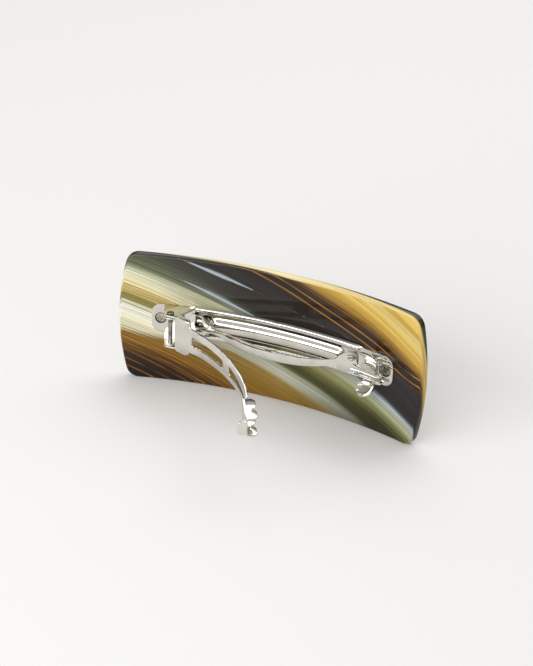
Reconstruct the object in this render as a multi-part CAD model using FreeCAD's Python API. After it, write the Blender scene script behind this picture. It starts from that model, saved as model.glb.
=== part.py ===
import FreeCAD, Part
import math
import os

# Barrette: a curved acetate plate with a sprung steel clip screwed to its hollow side.
# Frame: origin at the middle of the plate's lower long edge, half way through its
# thickness. +X runs along the plate to the catch, -Y is the clip side, +Z is up.
# The clip is drawn open, as it stands when the arm rests on its open stop.
# Lengths are in millimetres and angles in degrees.

V = FreeCAD.Vector
Z_UP = V(0, 0, 1)
spare = 1.0                 # how far a cutting shape reaches past what it cuts

# ---- acetate plate ----
plate_length = 100.5        # along the hollow face
plate_width = 42.0
plate_thickness = 2.85
plate_radius = 143.5        # of the hollow face
end_bow = 2.9               # how far each short end swells past its corners
corner_radius = 4.0

# ---- clip: base strip ----
clip_length = 80.0          # along the hollow face, over both tabs
clip_rise = 0.6             # clip's centre line above the middle of the plate
sheet = 0.6                 # thickness of the base strip
tab_width = 9.4
tab_corner = 3.0
bed_width = 10.0
bed_inset_hinge = 13.0      # bed's end from the clip's end, at the hinge
bed_inset_catch = 11.5      # and at the catch
tab_lap = 2.0               # how far each tab runs in under the bed
rail_height = 1.4
rail_top_width = 1.1
rail_chamfer = 0.3
floor_height = 1.0          # top of the bed between its rails
rib_height = 2.3
rib_inset_hinge = 18.5      # rib's end from the clip's end
rib_inset_catch = 17.2
groove_width = 1.1          # between a rail and the rib
slot_width = 1.0
slot_inset = 18.0           # slot's end from the clip's end
ear_inset = 0.0             # hinge ear's outer face in from the tab's edge
ear_thickness = 0.6
ear_foot_back = 3.8         # ear's foot from under the pin, towards the tab's end
ear_foot_front = 6.2        # and towards the catch
ear_crown = 1.9             # radius round the pin
lug_inset = 6.2             # lug's start from the clip's end
lug_length = 2.5
lug_height = 1.5
lug_edge = 0.3              # lug's outer face in from the tab's edge

# ---- clip: screws ----
screw_inset = 2.8           # from the clip's end
countersink = 3.7           # diameter at the tab's face
screw_pass = 0.25           # hole round the shank
head_sink = 0.06            # head's face below the tab's
head_rim = 0.05             # least height of the cone above the acetate
shank_diameter = 1.8
shank_length = 2.3          # into the acetate
cross_span = 2.0            # recess in the head
cross_width = 0.45
cross_depth = 0.3
cross_turn = 20             # how far the recess happens to be turned

# ---- clip: hinge pin ----
pin_inset = 7.6             # from the clip's end
pin_height = 7.6            # above the hollow face
pin_diameter = 1.4
pin_running_gap = 0.04      # radial, pin to arm
pin_head_diameter = 2.3
pin_head_height = 0.45

# ---- clip: closing arm, drawn with x along its chord from the pin ----
open_angle = 41.2           # arm's chord from the plate's chord, as drawn
close_angle = 41.5          # swing from there to shut
arm_sheet = 0.55
arm_start = 2.7             # first edge of the web from the pin
arm_start_drop = 0.5        # web's start below the chord
arm_root_angle = -24.2      # web's direction at its start
arm_bend = 43.0             # turn of the web up to the tip
arm_tip_length = 13.0
arm_tip_cover = 1.5         # how far the shut tip reaches past the barrel's mouth
arm_root_margin = 0.3       # root's edge out from the cheek
arm_root_length = 5.6
arm_shoulder = 1.0          # from the root's full width to the neck
arm_neck_width = 6.8        # just past the root
arm_end_width = 5.6         # just before the tip
arm_cheek_gap = 0.15        # hinge ear to cheek
arm_cheek_crown = 1.9
arm_cheek_foot = 1.8        # cheek's lower edge below the pin
arm_cheek_heel = 0.6        # and its corner behind it
arm_cheek_toe = (0.8, 0.9)  # cheek's far lower corner: back from the root's end, and down
window_start = 6.9          # first window from the web's start
window_length = 16.4
window_widths = (3.5, 2.9, 2.8, 0.9)    # at each window's two ends, from the root out
window_bridge = 3.0         # between the two windows
window_end = 4.0            # second window's end from the bend's end
tip_width = 5.8
tip_depth = 3.5
tip_joggle = 1.1            # tip's web stands this far out
tip_chamfer = 1.3
tip_lap = 0.4               # tip's sheet runs back into the web
lip_height = 2.3
lip_width = 4.4

# ---- clip: tension bow ----
bow_sheet = 0.45
bow_seat = 0.05             # bow's ends over the bed's floor
bow_over_hinge = 0.6        # bow's end past the bed's, at the hinge
bow_short_catch = 0.7       # bow's end short of the bed's, at the catch
bow_width = 3.3             # at the top of the arch
bow_waist = 1.9             # beside its two ends
bow_root_side = 0.6         # root's edge in from the hinge ear, or from the rail
bow_root_length = 6.5
bow_corner = 0.5            # corners cut off the root and the head
bow_shoulder = 1.5          # from the root's or the head's full width to the waist
bow_root_opening = (3.6, 3.0)           # length and width of the hole in the root
bow_root_rim = 1.4          # from the bow's end to the hole
bow_root_round = 0.48       # the hole's corner radius, as a share of its width
bow_head_side = 0.8         # head's edge in from the rail
bow_head_length = 5.2
bow_arch = [(0.17, 4.9), (0.354, 9.8), (0.552, 11.8), (0.733, 10.9), (0.841, 8.2),
            (0.913, 4.9)]   # share of its span, height over the face

# ---- clip: catch ----
catch_sheet = 0.45
catch_height = 5.9          # barrel's axis above the hollow face
catch_inset = 10.6          # barrel's mouth from the clip's end
barrel_length = 10.0
mouth_length = 3.6
barrel_radius = 1.3
mouth_radius = 1.75
barrel_split = 0.8          # between the two half barrels
leaf_lag = 1.9              # leaf's start from the barrel's mouth
leaf_top_length = 5.5       # leaf's width where it leaves the barrel
leaf_foot_length = 3.7      # and at its foot
leaf_top_drop = 0.5         # leaf's top below the barrel's axis
leaf_foot_side = 0.6        # leaf's fold in from the lug's inner face
leaf_foot_height = 2.0
leaf_heel = 0.6             # leg's flat reaches this far past its fold
ear_out = 7.2               # finger ear's edge from the centre line
ear_height = 7.4
ear_length = 5.6            # along the plate
ear_shift = 0.2             # ear's middle past the leg's
foot_side = 0.9             # strip foot's edge in from the lug's inner face
foot_clearance = 0.25       # leaf's pivot line over the foot
squeeze = 3.0               # how far each leaf turns when squeezed

# ---- worked out from the above ----
inner_y = -plate_thickness / 2
axis_y = inner_y - plate_radius
mid_z = plate_width / 2
clip_z = mid_z + clip_rise
axis_point = V(0, axis_y, 0)
clip_half = clip_length / 2
bed_start = bed_inset_hinge - clip_half
bed_end = clip_half - bed_inset_catch
rib_start = rib_inset_hinge - clip_half
rib_end = clip_half - rib_inset_catch
rail_in = bed_width / 2 - rail_top_width
rib_half = rail_in - groove_width
screw_offset = clip_half - screw_inset
ear_gap = tab_width - 2 * (ear_thickness + ear_inset)
pin_along = pin_inset - clip_half
barrel_start = clip_half - catch_inset
barrel_flare_end = barrel_start + mouth_length
barrel_end = barrel_start + barrel_length
leaf_start = barrel_start + leaf_lag
leaf_top_end = leaf_start + leaf_top_length
leaf_foot_end = leaf_start + leaf_foot_length
lug_in = tab_width / 2 - lug_edge - sheet
leaf_foot_out = lug_in - leaf_foot_side
cheek_in = ear_gap / 2 + ear_thickness + arm_cheek_gap
arm_root_width = 2 * (cheek_in + arm_sheet + arm_root_margin)
bow_root_width = 2 * (min(rail_in, ear_gap / 2) - bow_root_side)
bow_head_width = 2 * (rail_in - bow_head_side)


def at(along, height, z):
    """Point over the hollow face: along the plate, above the face, at height z."""
    turn = along / plate_radius
    r = plate_radius - height
    return V(r * math.sin(turn), axis_y + r * math.cos(turn), z)


def flat(along, height):
    """The same point in the plane through the origin."""
    return at(along, height, 0)


def direction(along):
    """Angle of the plate's surface at this place, from +X towards -Y."""
    return math.degrees(along / plate_radius)


def place(shape, along, height=0.0):
    """Move a shape drawn at the origin (x along, -y out, z from the clip's middle)."""
    shape = shape.copy()
    shape.rotate(V(0, 0, 0), Z_UP, -direction(along))
    shape.translate(at(along, height, clip_z))
    return shape


def revolve_strip(section, start, end):
    """Sweep a closed (z, height) outline along the plate from start to end."""
    points = [flat(0, h) + V(0, 0, clip_z + z) for z, h in section]
    face = Part.Face(Part.makePolygon(points + points[:1]))
    turn = math.degrees((end - start) / plate_radius)
    shape = face.revolve(axis_point, Z_UP, -turn)
    shape.rotate(axis_point, Z_UP, -math.degrees(start / plate_radius))
    return shape


def box(x0, x1, y0, y1, z0, z1):
    return Part.makeBox(x1 - x0, y1 - y0, z1 - z0, V(x0, y0, z0))


def outline_prism(points, y0, y1):
    """Prism along Y of an (x, z) outline."""
    wire = Part.makePolygon([V(x, y0, z) for x, z in points + points[:1]])
    return Part.Face(wire).extrude(V(0, y1 - y0, 0))


def rounded(x0, x1, z0, z1, radius, y0, y1):
    """Prism along Y of a rectangle with round corners."""
    shape = box(x0, x1, y0, y1, z0, z1)
    upright = [e for e in shape.Edges
               if abs(e.Vertexes[0].Y - e.Vertexes[1].Y) > abs(y1 - y0) / 2]
    return shape.makeFillet(radius, upright)


def one(shape):
    """The largest solid of a shape."""
    return max(shape.Solids, key=lambda s: s.Volume)


# ---- acetate plate ----
def end_curve(r):
    """The bowed short end, wrapped round the axis at this radius and run past both long edges."""
    half = plate_width / 2
    bow_r = (half ** 2 + end_bow ** 2) / (2 * end_bow)
    bow_x = plate_length / 2 - bow_r
    lean = math.asin((half + spare) / bow_r)
    points = []
    for i in range(-8, 9):
        a = lean * i / 8
        turn = (bow_x + bow_r * math.cos(a)) / plate_radius
        points.append(V(r * math.sin(turn), axis_y + r * math.cos(turn), mid_z + bow_r * math.sin(a)))
    curve = Part.BSplineCurve()
    curve.interpolate(points)
    return curve.toShape()


def make_plate():
    inner, outer = plate_radius, plate_radius + plate_thickness
    half_turn = math.degrees(plate_length / 2 / plate_radius)
    wide = half_turn + math.degrees(spare / plate_radius)
    shape = Part.makeCylinder(outer, plate_width, axis_point, Z_UP, 2 * wide)
    shape = shape.cut(Part.makeCylinder(inner, plate_width, axis_point, Z_UP, 360))
    shape.rotate(axis_point, Z_UP, 90 - wide)
    onward = V(math.cos(math.radians(half_turn)), -math.sin(math.radians(half_turn)), 0)
    end_face = Part.makeRuledSurface(end_curve(inner - spare), end_curve(outer + spare))
    cutter = end_face.extrude(onward * plate_length / 4)
    shape = one(shape.cut(cutter).cut(cutter.mirror(V(0, 0, 0), V(1, 0, 0))))
    corners = [e for e in shape.Edges if e.Length < 2 * plate_thickness
               and all(min(v.Z, plate_width - v.Z) < plate_thickness / 100 for v in e.Vertexes)]
    shape = shape.makeFillet(corner_radius, corners)
    for along in (-screw_offset, screw_offset):
        hole = Part.makeCylinder(shank_diameter / 2, shank_length + spare, V(0, -spare, 0), V(0, 1, 0))
        shape = shape.cut(place(hole, along))
    return one(shape)


# ---- base ----
def bed_section():
    """Closed outline of the bed: a raised floor between two side rails."""
    half, chamfer = bed_width / 2, rail_chamfer
    right = [(half, 0), (half, rail_height - chamfer), (half - chamfer, rail_height),
             (rail_in, rail_height), (rail_in - chamfer, floor_height)]
    under = [(rail_in - chamfer, floor_height - sheet), (half - sheet, rail_height - sheet),
             (half - sheet, 0)]
    return (right + [(-z, h) for z, h in reversed(right)]
            + [(-z, h) for z, h in reversed(under)] + under)


def rib_section():
    """Closed outline of the rounded middle rib, hollow underneath."""
    def arch(half, low, top):
        return [(half * math.cos(math.pi * i / 8), low + (top - low) * math.sin(math.pi * i / 8))
                for i in range(9)]
    low = floor_height - sheet
    return arch(rib_half, low, rib_height) + arch(rib_half - sheet, low, rib_height - sheet)[::-1]


def hinge_ear(z0, z1):
    """One upright ear with a round crown at the pin."""
    pin = flat(pin_along, pin_height)
    a = flat(pin_along - ear_foot_back, 0)
    b = flat(pin_along + ear_foot_front, 0)
    left = tangent_point(pin, ear_crown, a, -1)
    right = tangent_point(pin, ear_crown, b, 1)
    away = (pin - flat(pin_along, 0)).normalize()
    crown = Part.Arc(left, pin + away * ear_crown, right).toShape()
    wire = Part.Wire([Part.makeLine(b, a), Part.makeLine(a, left), crown, Part.makeLine(right, b)])
    ear = Part.Face(wire).extrude(V(0, 0, z1 - z0))
    ear.translate(V(0, 0, clip_z + z0))
    return ear


def tangent_point(centre, radius, point, side):
    """Where a line from the point touches the circle."""
    to = point - centre
    reach = to.Length
    turn = math.acos(radius / reach) * side
    base = math.atan2(to.y, to.x)
    return centre + V(radius * math.cos(base - turn), radius * math.sin(base - turn), 0)


def make_base():
    half = tab_width / 2
    tabs = [(-clip_half, bed_start + tab_lap), (bed_end - tab_lap, clip_half)]
    shape = revolve_strip(bed_section(), bed_start, bed_end)
    shape = shape.fuse(revolve_strip(rib_section(), rib_start, rib_end))
    for start, end in tabs:
        strip = revolve_strip([(-half, 0), (half, 0), (half, sheet), (-half, sheet)], start, end)
        shape = shape.fuse(strip)
    reach = plate_radius * math.sin(clip_half / plate_radius)
    low = axis_y / 2
    keep = rounded(-reach, reach, clip_z - half, clip_z + half, tab_corner, low, inner_y)
    middle = box(-reach + 2 * tab_corner, reach - 2 * tab_corner, low, inner_y,
                 clip_z - bed_width, clip_z + bed_width)
    shape = shape.common(keep.fuse(middle))
    for side in (-1, 1):
        z0, z1 = sorted((side * ear_gap / 2, side * (ear_gap / 2 + ear_thickness)))
        shape = shape.fuse(hinge_ear(z0, z1))
        z0, z1 = sorted((side * lug_in, side * (lug_in + sheet)))
        lug = box(0, lug_length, -lug_height - sheet, -sheet / 2, z0, z1)
        shape = shape.fuse(place(lug, clip_half - lug_inset))
    pin = flat(pin_along, pin_height)
    shape = shape.cut(Part.makeCylinder(pin_diameter / 2, bed_width * 2,
                                        pin + V(0, 0, clip_z - bed_width), Z_UP))
    slot_mid = rail_in - groove_width / 2
    slot_half = clip_half - slot_inset
    for side in (-1, 1):
        z0, z1 = side * slot_mid - slot_width / 2, side * slot_mid + slot_width / 2
        outline = [(z0, -sheet), (z1, -sheet), (z1, rib_height), (z0, rib_height)]
        shape = shape.cut(revolve_strip(outline, -slot_half, slot_half))
    for along in (-screw_offset, screw_offset):
        shape = shape.cut(place(countersunk(sheet), along))
    return one(shape)


# ---- screws ----
def countersunk(top):
    """Space of a countersunk screw in the tab, up to this height over the acetate."""
    neck = shank_diameter / 2 + screw_pass
    grow = (countersink / 2 - neck) / (sheet - head_rim)
    cone = Part.makeCone(neck, neck + grow * (top - head_rim), top - head_rim, V(0, -head_rim, 0),
                         V(0, -1, 0))
    through = Part.makeCylinder(neck, 2 * sheet, V(0, -head_rim, 0), V(0, 1, 0))
    return cone.fuse(through)


def make_screw(along):
    top = sheet - head_sink
    neck = shank_diameter / 2 + screw_pass
    grow = (countersink / 2 - neck) / (sheet - head_rim)
    head = Part.makeCone(neck, neck + grow * (top - head_rim), top - head_rim, V(0, -head_rim, 0),
                         V(0, -1, 0))
    shank = Part.makeCylinder(shank_diameter / 2, shank_length + 2 * head_rim,
                              V(0, -2 * head_rim, 0), V(0, 1, 0))
    screw = head.fuse(shank)
    for turn in (0, 90):
        bar = box(-cross_span / 2, cross_span / 2, -2 * sheet, -top + cross_depth,
                  -cross_width / 2, cross_width / 2)
        bar.rotate(V(0, 0, 0), V(0, 1, 0), turn + cross_turn)
        screw = screw.cut(bar)
    return place(one(screw), along)


# ---- hinge pin ----
def pin_span():
    """Half the pin's length between its two heads."""
    return cheek_in + arm_sheet + arm_cheek_gap


def make_pin():
    pin = flat(pin_along, pin_height)
    half = pin_span()
    shape = Part.makeCylinder(pin_diameter / 2, 2 * half, pin + V(0, 0, clip_z - half), Z_UP)
    for z0 in (-half - pin_head_height, half):
        head = Part.makeCylinder(pin_head_diameter / 2, pin_head_height,
                                 pin + V(0, 0, clip_z + z0), Z_UP)
        shape = shape.fuse(head)
    return one(shape)


# ---- closing arm ----
def arm_path():
    """Web's middle line in the arm's own frame: its start, the bend's end and its circle."""
    a0 = math.radians(arm_root_angle)
    a1 = math.radians(arm_root_angle + arm_bend)
    start = V(arm_start, -arm_start_drop, 0)
    # the bend is as wide as it takes for the shut tip to reach over the barrel's mouth
    reach = barrel_start - pin_along + arm_tip_cover
    radius = (reach - arm_start - arm_tip_length * math.cos(a1)) / (math.sin(a1) - math.sin(a0))
    centre = start + V(-math.sin(a0), math.cos(a0), 0) * radius
    bend_end = centre + V(math.sin(a1), -math.cos(a1), 0) * radius
    return start, bend_end, centre, radius, a0, a1


def ribbon(centre, radius, a0, a1, thickness, half_width):
    """A bent strip: part of a ring about the centre, between two directions."""
    inner, outer = radius - thickness / 2, radius + thickness / 2

    def on(r, a):
        return centre + V(math.sin(a), -math.cos(a), 0) * r
    am = (a0 + a1) / 2
    wire = Part.Wire([Part.Arc(on(inner, a0), on(inner, am), on(inner, a1)).toShape(),
                      Part.makeLine(on(inner, a1), on(outer, a1)),
                      Part.Arc(on(outer, a1), on(outer, am), on(outer, a0)).toShape(),
                      Part.makeLine(on(outer, a0), on(inner, a0))])
    strip = Part.Face(wire).extrude(V(0, 0, 2 * half_width))
    strip.translate(V(0, 0, -half_width))
    return strip


def teardrop(x0, x1, w0, w1):
    """Outline of a window that is round at both ends and narrows along the arm."""
    r0, r1 = w0 / 2, w1 / 2
    left = [(x0 + r0 - r0 * math.cos(a), r0 * math.sin(a))
            for a in [math.pi / 2 - math.pi * i / 8 for i in range(9)]]
    right = [(x1 - r1 + r1 * math.cos(a), r1 * math.sin(a))
             for a in [-math.pi / 2 + math.pi * i / 8 for i in range(9)]]
    return left + right


def make_arm():
    start, bend_end, centre, radius, a0, a1 = arm_path()
    web = ribbon(centre, radius, a0, a1, arm_sheet, arm_root_width / 2)
    root, neck, end = arm_root_width / 2, arm_neck_width / 2, arm_end_width / 2
    x0, x1, x2 = arm_start - spare, arm_start + arm_root_length, bend_end.x + spare
    half = [(x0, root), (x1, root), (x1 + arm_shoulder, neck), (x2, end)]
    plan = half + [(x, -z) for x, z in reversed(half)]
    web = web.common(outline_prism(plan, -radius / 2, radius / 2))
    w0, w1, w2, w3 = window_widths
    first = arm_start + window_start
    second = first + window_length + window_bridge
    for outline in (teardrop(first, first + window_length, w0, w1),
                    teardrop(second, bend_end.x - window_end, w2, w3)):
        web = web.cut(outline_prism(outline, -radius / 2, radius / 2))
    shape = web
    # cheeks down past the hinge ears, each with a round crown at the pin
    toe_back, toe_drop = arm_cheek_toe
    a = start + V(math.cos(a0), math.sin(a0), 0) * arm_root_length
    for side in (-1, 1):
        z0 = cheek_in if side > 0 else -cheek_in - arm_sheet
        crown = Part.makeCylinder(arm_cheek_crown, arm_sheet, V(0, 0, z0), Z_UP)
        corners = [V(0, arm_cheek_crown, z0), V(-arm_cheek_heel, -arm_cheek_foot, z0),
                   V(a.x - toe_back, a.y - toe_drop, z0), V(a.x, a.y, z0),
                   V(start.x, start.y + arm_sheet / 2, z0)]
        blade = Part.Face(Part.makePolygon(corners + corners[:1])).extrude(V(0, 0, arm_sheet))
        shape = shape.fuse(crown).fuse(blade)
    shape = shape.cut(Part.makeCylinder(pin_diameter / 2 + pin_running_gap, 4 * root,
                                        V(0, 0, -2 * root), Z_UP))
    # tip: a channel that stands out from the web, with a lip at its end
    tip_shape = make_tip()
    tip_shape.rotate(V(0, 0, 0), Z_UP, math.degrees(a1))
    tip_shape.translate(bend_end)
    return one(shape.fuse(tip_shape))


def make_tip():
    """Channel at the arm's tip, drawn from the origin along +X with +Y outwards."""
    half = tip_width / 2
    t = arm_sheet
    top = tip_joggle + t / 2
    side = [(-tip_lap, -t / 2), (-tip_lap, t / 2), (tip_chamfer, top), (arm_tip_length, top),
            (arm_tip_length, top - tip_depth + tip_chamfer),
            (arm_tip_length - tip_chamfer, top - tip_depth),
            (2 * tip_chamfer, top - tip_depth), (tip_chamfer, top - tip_depth + tip_chamfer),
            (tip_chamfer, -t / 2)]
    body = Part.Face(Part.makePolygon([V(x, y, 0) for x, y in side + side[:1]]))
    body = body.extrude(V(0, 0, tip_width))
    body.translate(V(0, 0, -half))
    hollow = box(tip_chamfer + t, arm_tip_length + spare, top - tip_depth - spare, top - t,
                 -half + t, half - t)
    lip = box(arm_tip_length - t, arm_tip_length, top - t, top + lip_height, -lip_width / 2, lip_width / 2)
    return body.cut(hollow).fuse(lip)


def place_arm(shape, angle):
    """Put the arm on its pin with its chord turned from +X towards -Y."""
    shape = shape.copy()
    # the arm's own +Y is outwards, which is -Y on the clip
    shape = shape.mirror(V(0, 0, 0), V(0, 1, 0))
    shape.rotate(V(0, 0, 0), Z_UP, -angle)
    shape.translate(at(pin_along, pin_height, clip_z))
    return shape


# ---- tension bow ----
def bow_plan(x0, x1):
    """Upper half of the strip's outline: a broad root, an arch that swells, a broad head."""
    root, head, waist = bow_root_width / 2, bow_head_width / 2, bow_waist / 2
    root_end, head_start = x0 + bow_root_length, x1 - bow_head_length
    near = [(x0 - bow_corner, root - 2 * bow_corner), (x0 + bow_corner, root),
            (root_end - bow_shoulder, root)]
    arch = [(root_end + (head_start - root_end) * i / 8,
             waist + (bow_width / 2 - waist) * math.sin(math.pi * i / 8)) for i in range(9)]
    far = [(head_start + bow_shoulder, head), (x1 - bow_corner, head),
           (x1 + bow_corner, head - 2 * bow_corner)]
    return near + arch + far


def make_bow():
    end_height = floor_height + bow_seat + bow_sheet / 2
    s0, s1 = bed_start - bow_over_hinge, bed_end - bow_short_catch
    arch = [(0, end_height)] + bow_arch + [(1, end_height)]
    points = [flat(s0 + (s1 - s0) * share, h) for share, h in arch]
    line = Part.BSplineCurve()
    line.interpolate(points)

    def offset(gap):
        moved = []
        for i in range(2 * len(points) + 1):
            u = line.FirstParameter + (line.LastParameter - line.FirstParameter) * i / (2 * len(points))
            p, t = line.value(u), line.tangent(u)[0]
            moved.append(p + V(t.y, -t.x, 0) * gap)
        curve = Part.BSplineCurve()
        curve.interpolate(moved)
        return curve.toShape(), moved
    low, low_points = offset(-bow_sheet / 2)
    high, high_points = offset(bow_sheet / 2)
    wire = Part.Wire([low, Part.makeLine(low_points[-1], high_points[-1]), high,
                      Part.makeLine(high_points[0], low_points[0])])
    strip = Part.Face(wire).extrude(V(0, 0, 2 * bow_root_width))
    strip.translate(V(0, 0, clip_z - bow_root_width))
    x0, x1 = points[0].x, points[-1].x
    half = bow_plan(x0, x1)
    plan = [(x, clip_z + z) for x, z in half] + [(x, clip_z - z) for x, z in reversed(half)]
    strip = strip.common(outline_prism(plan, axis_y / 2, inner_y))
    length, width = bow_root_opening
    hole_x = x0 + bow_root_rim
    hole = rounded(hole_x, hole_x + length, clip_z - width / 2, clip_z + width / 2,
                   bow_root_round * width, axis_y / 2, inner_y)
    return one(strip.cut(hole))


# ---- catch ----
def make_catch_foot():
    half = lug_in - foot_side
    top = sheet + catch_sheet
    return one(revolve_strip([(-half, sheet), (half, sheet), (half, top), (-half, top)],
                             leaf_start, leaf_foot_end))


def make_leaf(side):
    """One side of the catch: half a barrel, the leg under it and a finger ear."""
    middle = (leaf_start + leaf_top_end) / 2
    t = catch_sheet

    def run(s):
        return s - middle
    # drawn at the origin: x along, -y out of the plate, z from the clip's middle
    barrel = Part.makeCylinder(barrel_radius, barrel_end - barrel_flare_end,
                               V(run(barrel_flare_end), -catch_height, 0), V(1, 0, 0))
    mouth = Part.makeCone(mouth_radius, barrel_radius, barrel_flare_end - barrel_start,
                          V(run(barrel_start), -catch_height, 0), V(1, 0, 0))
    bore = Part.makeCylinder(barrel_radius - t, barrel_end - barrel_start - t,
                             V(run(barrel_start), -catch_height, 0), V(1, 0, 0))
    flare_bore = Part.makeCone(mouth_radius - t, barrel_radius - t, barrel_flare_end - barrel_start,
                               V(run(barrel_start), -catch_height, 0), V(1, 0, 0))
    tube = barrel.fuse(mouth).cut(bore).cut(flare_bore)
    low, high = sorted((side * barrel_split / 2, side * 3 * mouth_radius))
    tube = tube.common(box(-barrel_length, barrel_length, -2 * catch_height, 0, low, high))
    # leg and ear: a folded strip, seen along the plate
    top = (barrel_radius - t / 2, catch_height - leaf_top_drop)
    foot = (leaf_foot_out, leaf_foot_height)
    ear = (ear_out, ear_height)
    strip = fold([top, foot, ear], t)
    strip = [V(run(leaf_start) - spare, -h, side * z) for z, h in strip]
    length = leaf_top_end - leaf_start + 2 * spare
    solid = Part.Face(Part.makePolygon(strip + strip[:1])).extrude(V(length, 0, 0))
    # trim it to the leg's taper and the ear's round outline
    x0, x1, x2 = run(leaf_start), run(leaf_top_end), run(leaf_foot_end)
    heel = side * (foot[0] + leaf_heel)
    leg = [(x0, 0), (x1, 0), (x1, side * top[0]), (x2, side * foot[0]), (x2, heel), (x0, heel)]
    reach = 2 * ear_height
    trim = outline_prism(leg, -reach, reach)
    ear_mid = (x0 + x2) / 2 + ear_shift
    round_r = ear_length / 2
    lobe = Part.makeCylinder(round_r, 2 * reach, V(ear_mid, -reach, side * (ear_out - round_r)),
                             V(0, 1, 0))
    solid = solid.common(trim.fuse(lobe))
    return place(one(tube.fuse(solid)), middle)


def fold(points, thickness):
    """Outline of a strip of even thickness along a few straight runs."""
    def normal(p, q):
        dz, dh = q[0] - p[0], q[1] - p[1]
        size = math.hypot(dz, dh)
        return -dh / size, dz / size
    sides = [normal(p, q) for p, q in zip(points, points[1:])]
    left, right = [], []
    for i, (z, h) in enumerate(points):
        a = sides[max(i - 1, 0)]
        b = sides[min(i, len(sides) - 1)]
        nz, nh = a[0] + b[0], a[1] + b[1]
        scale = thickness / (nz * nz + nh * nh)
        left.append((z + nz * scale, h + nh * scale))
        right.append((z - nz * scale, h - nh * scale))
    return left + right[::-1]


parts = {
    "acetate_plate": make_plate(),
    "clip_base": make_base(),
    "clip_screws": Part.makeCompound([make_screw(-screw_offset), make_screw(screw_offset)]),
    "hinge_pin": make_pin(),
    "closing_arm": place_arm(make_arm(), open_angle),
    "tension_bow": make_bow(),
    "catch_foot": make_catch_foot(),
    "catch_leaf_upper": make_leaf(1),
    "catch_leaf_lower": make_leaf(-1),
}

os.makedirs("parts", exist_ok=True)
for name, shape in parts.items():
    shape.exportStep("parts/" + name + ".step")
    b = shape.BoundBox
    print(name, shape.isValid(), len(shape.Solids), "volume", round(shape.Volume, 1),
          "box", [round(v, 2) for v in (b.XMin, b.YMin, b.ZMin, b.XMax, b.YMax, b.ZMax)])

pin = at(pin_along, pin_height, clip_z)
print("arm pivot", [round(v, 3) for v in pin], "swing 0 to", close_angle)
leaf_middle = (leaf_start + leaf_foot_end) / 2
for side in (1, -1):
    p = at(leaf_middle, sheet + catch_sheet + foot_clearance, clip_z + side * leaf_foot_out)
    print("leaf pivot", [round(v, 3) for v in p], "axis turned", round(direction(leaf_middle), 3),
          "squeeze", squeeze)
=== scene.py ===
import math

import bmesh
import bpy
from mathutils import Matrix, Vector


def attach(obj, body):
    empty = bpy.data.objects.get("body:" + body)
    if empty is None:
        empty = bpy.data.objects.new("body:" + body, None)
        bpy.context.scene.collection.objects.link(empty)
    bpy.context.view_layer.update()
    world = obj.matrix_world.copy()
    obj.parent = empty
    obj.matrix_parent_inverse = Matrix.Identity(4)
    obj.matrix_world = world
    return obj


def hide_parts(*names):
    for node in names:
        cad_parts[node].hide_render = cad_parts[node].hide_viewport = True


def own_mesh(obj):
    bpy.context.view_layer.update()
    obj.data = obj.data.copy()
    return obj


# A horn-pattern acetate barrette standing on its long edge, with its nickel-plated clip open.
# Metres throughout, in the part's own frame: +X to the catch, -Y the clip side, +Z up.

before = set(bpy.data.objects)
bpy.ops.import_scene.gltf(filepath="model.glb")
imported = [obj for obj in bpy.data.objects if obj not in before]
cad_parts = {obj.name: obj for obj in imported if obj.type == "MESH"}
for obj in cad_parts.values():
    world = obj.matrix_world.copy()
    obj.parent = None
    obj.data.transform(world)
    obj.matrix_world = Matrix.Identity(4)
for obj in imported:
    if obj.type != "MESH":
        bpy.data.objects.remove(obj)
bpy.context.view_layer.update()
MM = 0.001

# ---- sizes of the barrette, in millimetres ----
PLATE_LENGTH = 100.5
PLATE_WIDTH = 42.0
PLATE_THICKNESS = 2.85
PLATE_RADIUS = 143.5
END_BOW = 2.9
CORNER_RADIUS = 4.0
EDGE_ROUND = 0.75            # tumbled edge of the acetate
INNER_Y = -PLATE_THICKNESS / 2
AXIS_Y = INNER_Y - PLATE_RADIUS
CLIP_Z = 21.6


def srgb(code):
    """A hex colour as linear red, green, blue and alpha."""
    parts = [int(code[i:i + 2], 16) / 255 for i in (1, 3, 5)]
    return [c / 12.92 if c <= 0.04045 else ((c + 0.055) / 1.055) ** 2.4 for c in parts] + [1.0]


def over_face(along, height, z):
    """Point over the hollow face in metres: along the plate, above the face, up."""
    turn = along / PLATE_RADIUS
    r = PLATE_RADIUS - height
    return Vector((r * math.sin(turn), AXIS_Y + r * math.cos(turn), z)) * MM


# ---- materials ----
def node(tree, kind, inputs=None, output=0, **settings):
    """Add a node with its settings and give one of its outputs. An input is a value, or the
    socket that feeds it."""
    made = tree.nodes.new("ShaderNode" + kind)
    for name, value in settings.items():
        setattr(made, name, value)
    for key, value in (inputs or {}).items():
        if isinstance(value, bpy.types.NodeSocket):
            tree.links.new(value, made.inputs[key])
        else:
            made.inputs[key].default_value = value
    return made.outputs[output]


def new_material(name, **sockets):
    """A material with its shader's own sockets set; Specular_IOR_Level names Specular IOR Level."""
    material = bpy.data.materials.new(name)
    material.use_nodes = True
    tree = material.node_tree
    shader = tree.nodes["Principled BSDF"]
    for socket, value in sockets.items():
        shader.inputs[socket.replace("_", " ")].default_value = value
    return material, tree, shader


def fill_ramp(ramp, stops, low, high):
    """Give a colour ramp its stops, placed between low and high: hex colours or greys."""
    points = ramp.color_ramp.elements
    while len(points) > 1:
        points.remove(points[-1])
    for i, (place, code) in enumerate(stops):
        share = (place - low) / (high - low)
        point = points[0] if i == 0 else points.new(share)
        point.position = share
        point.color = srgb(code) if isinstance(code, str) else (code, code, code, 1)


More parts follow.
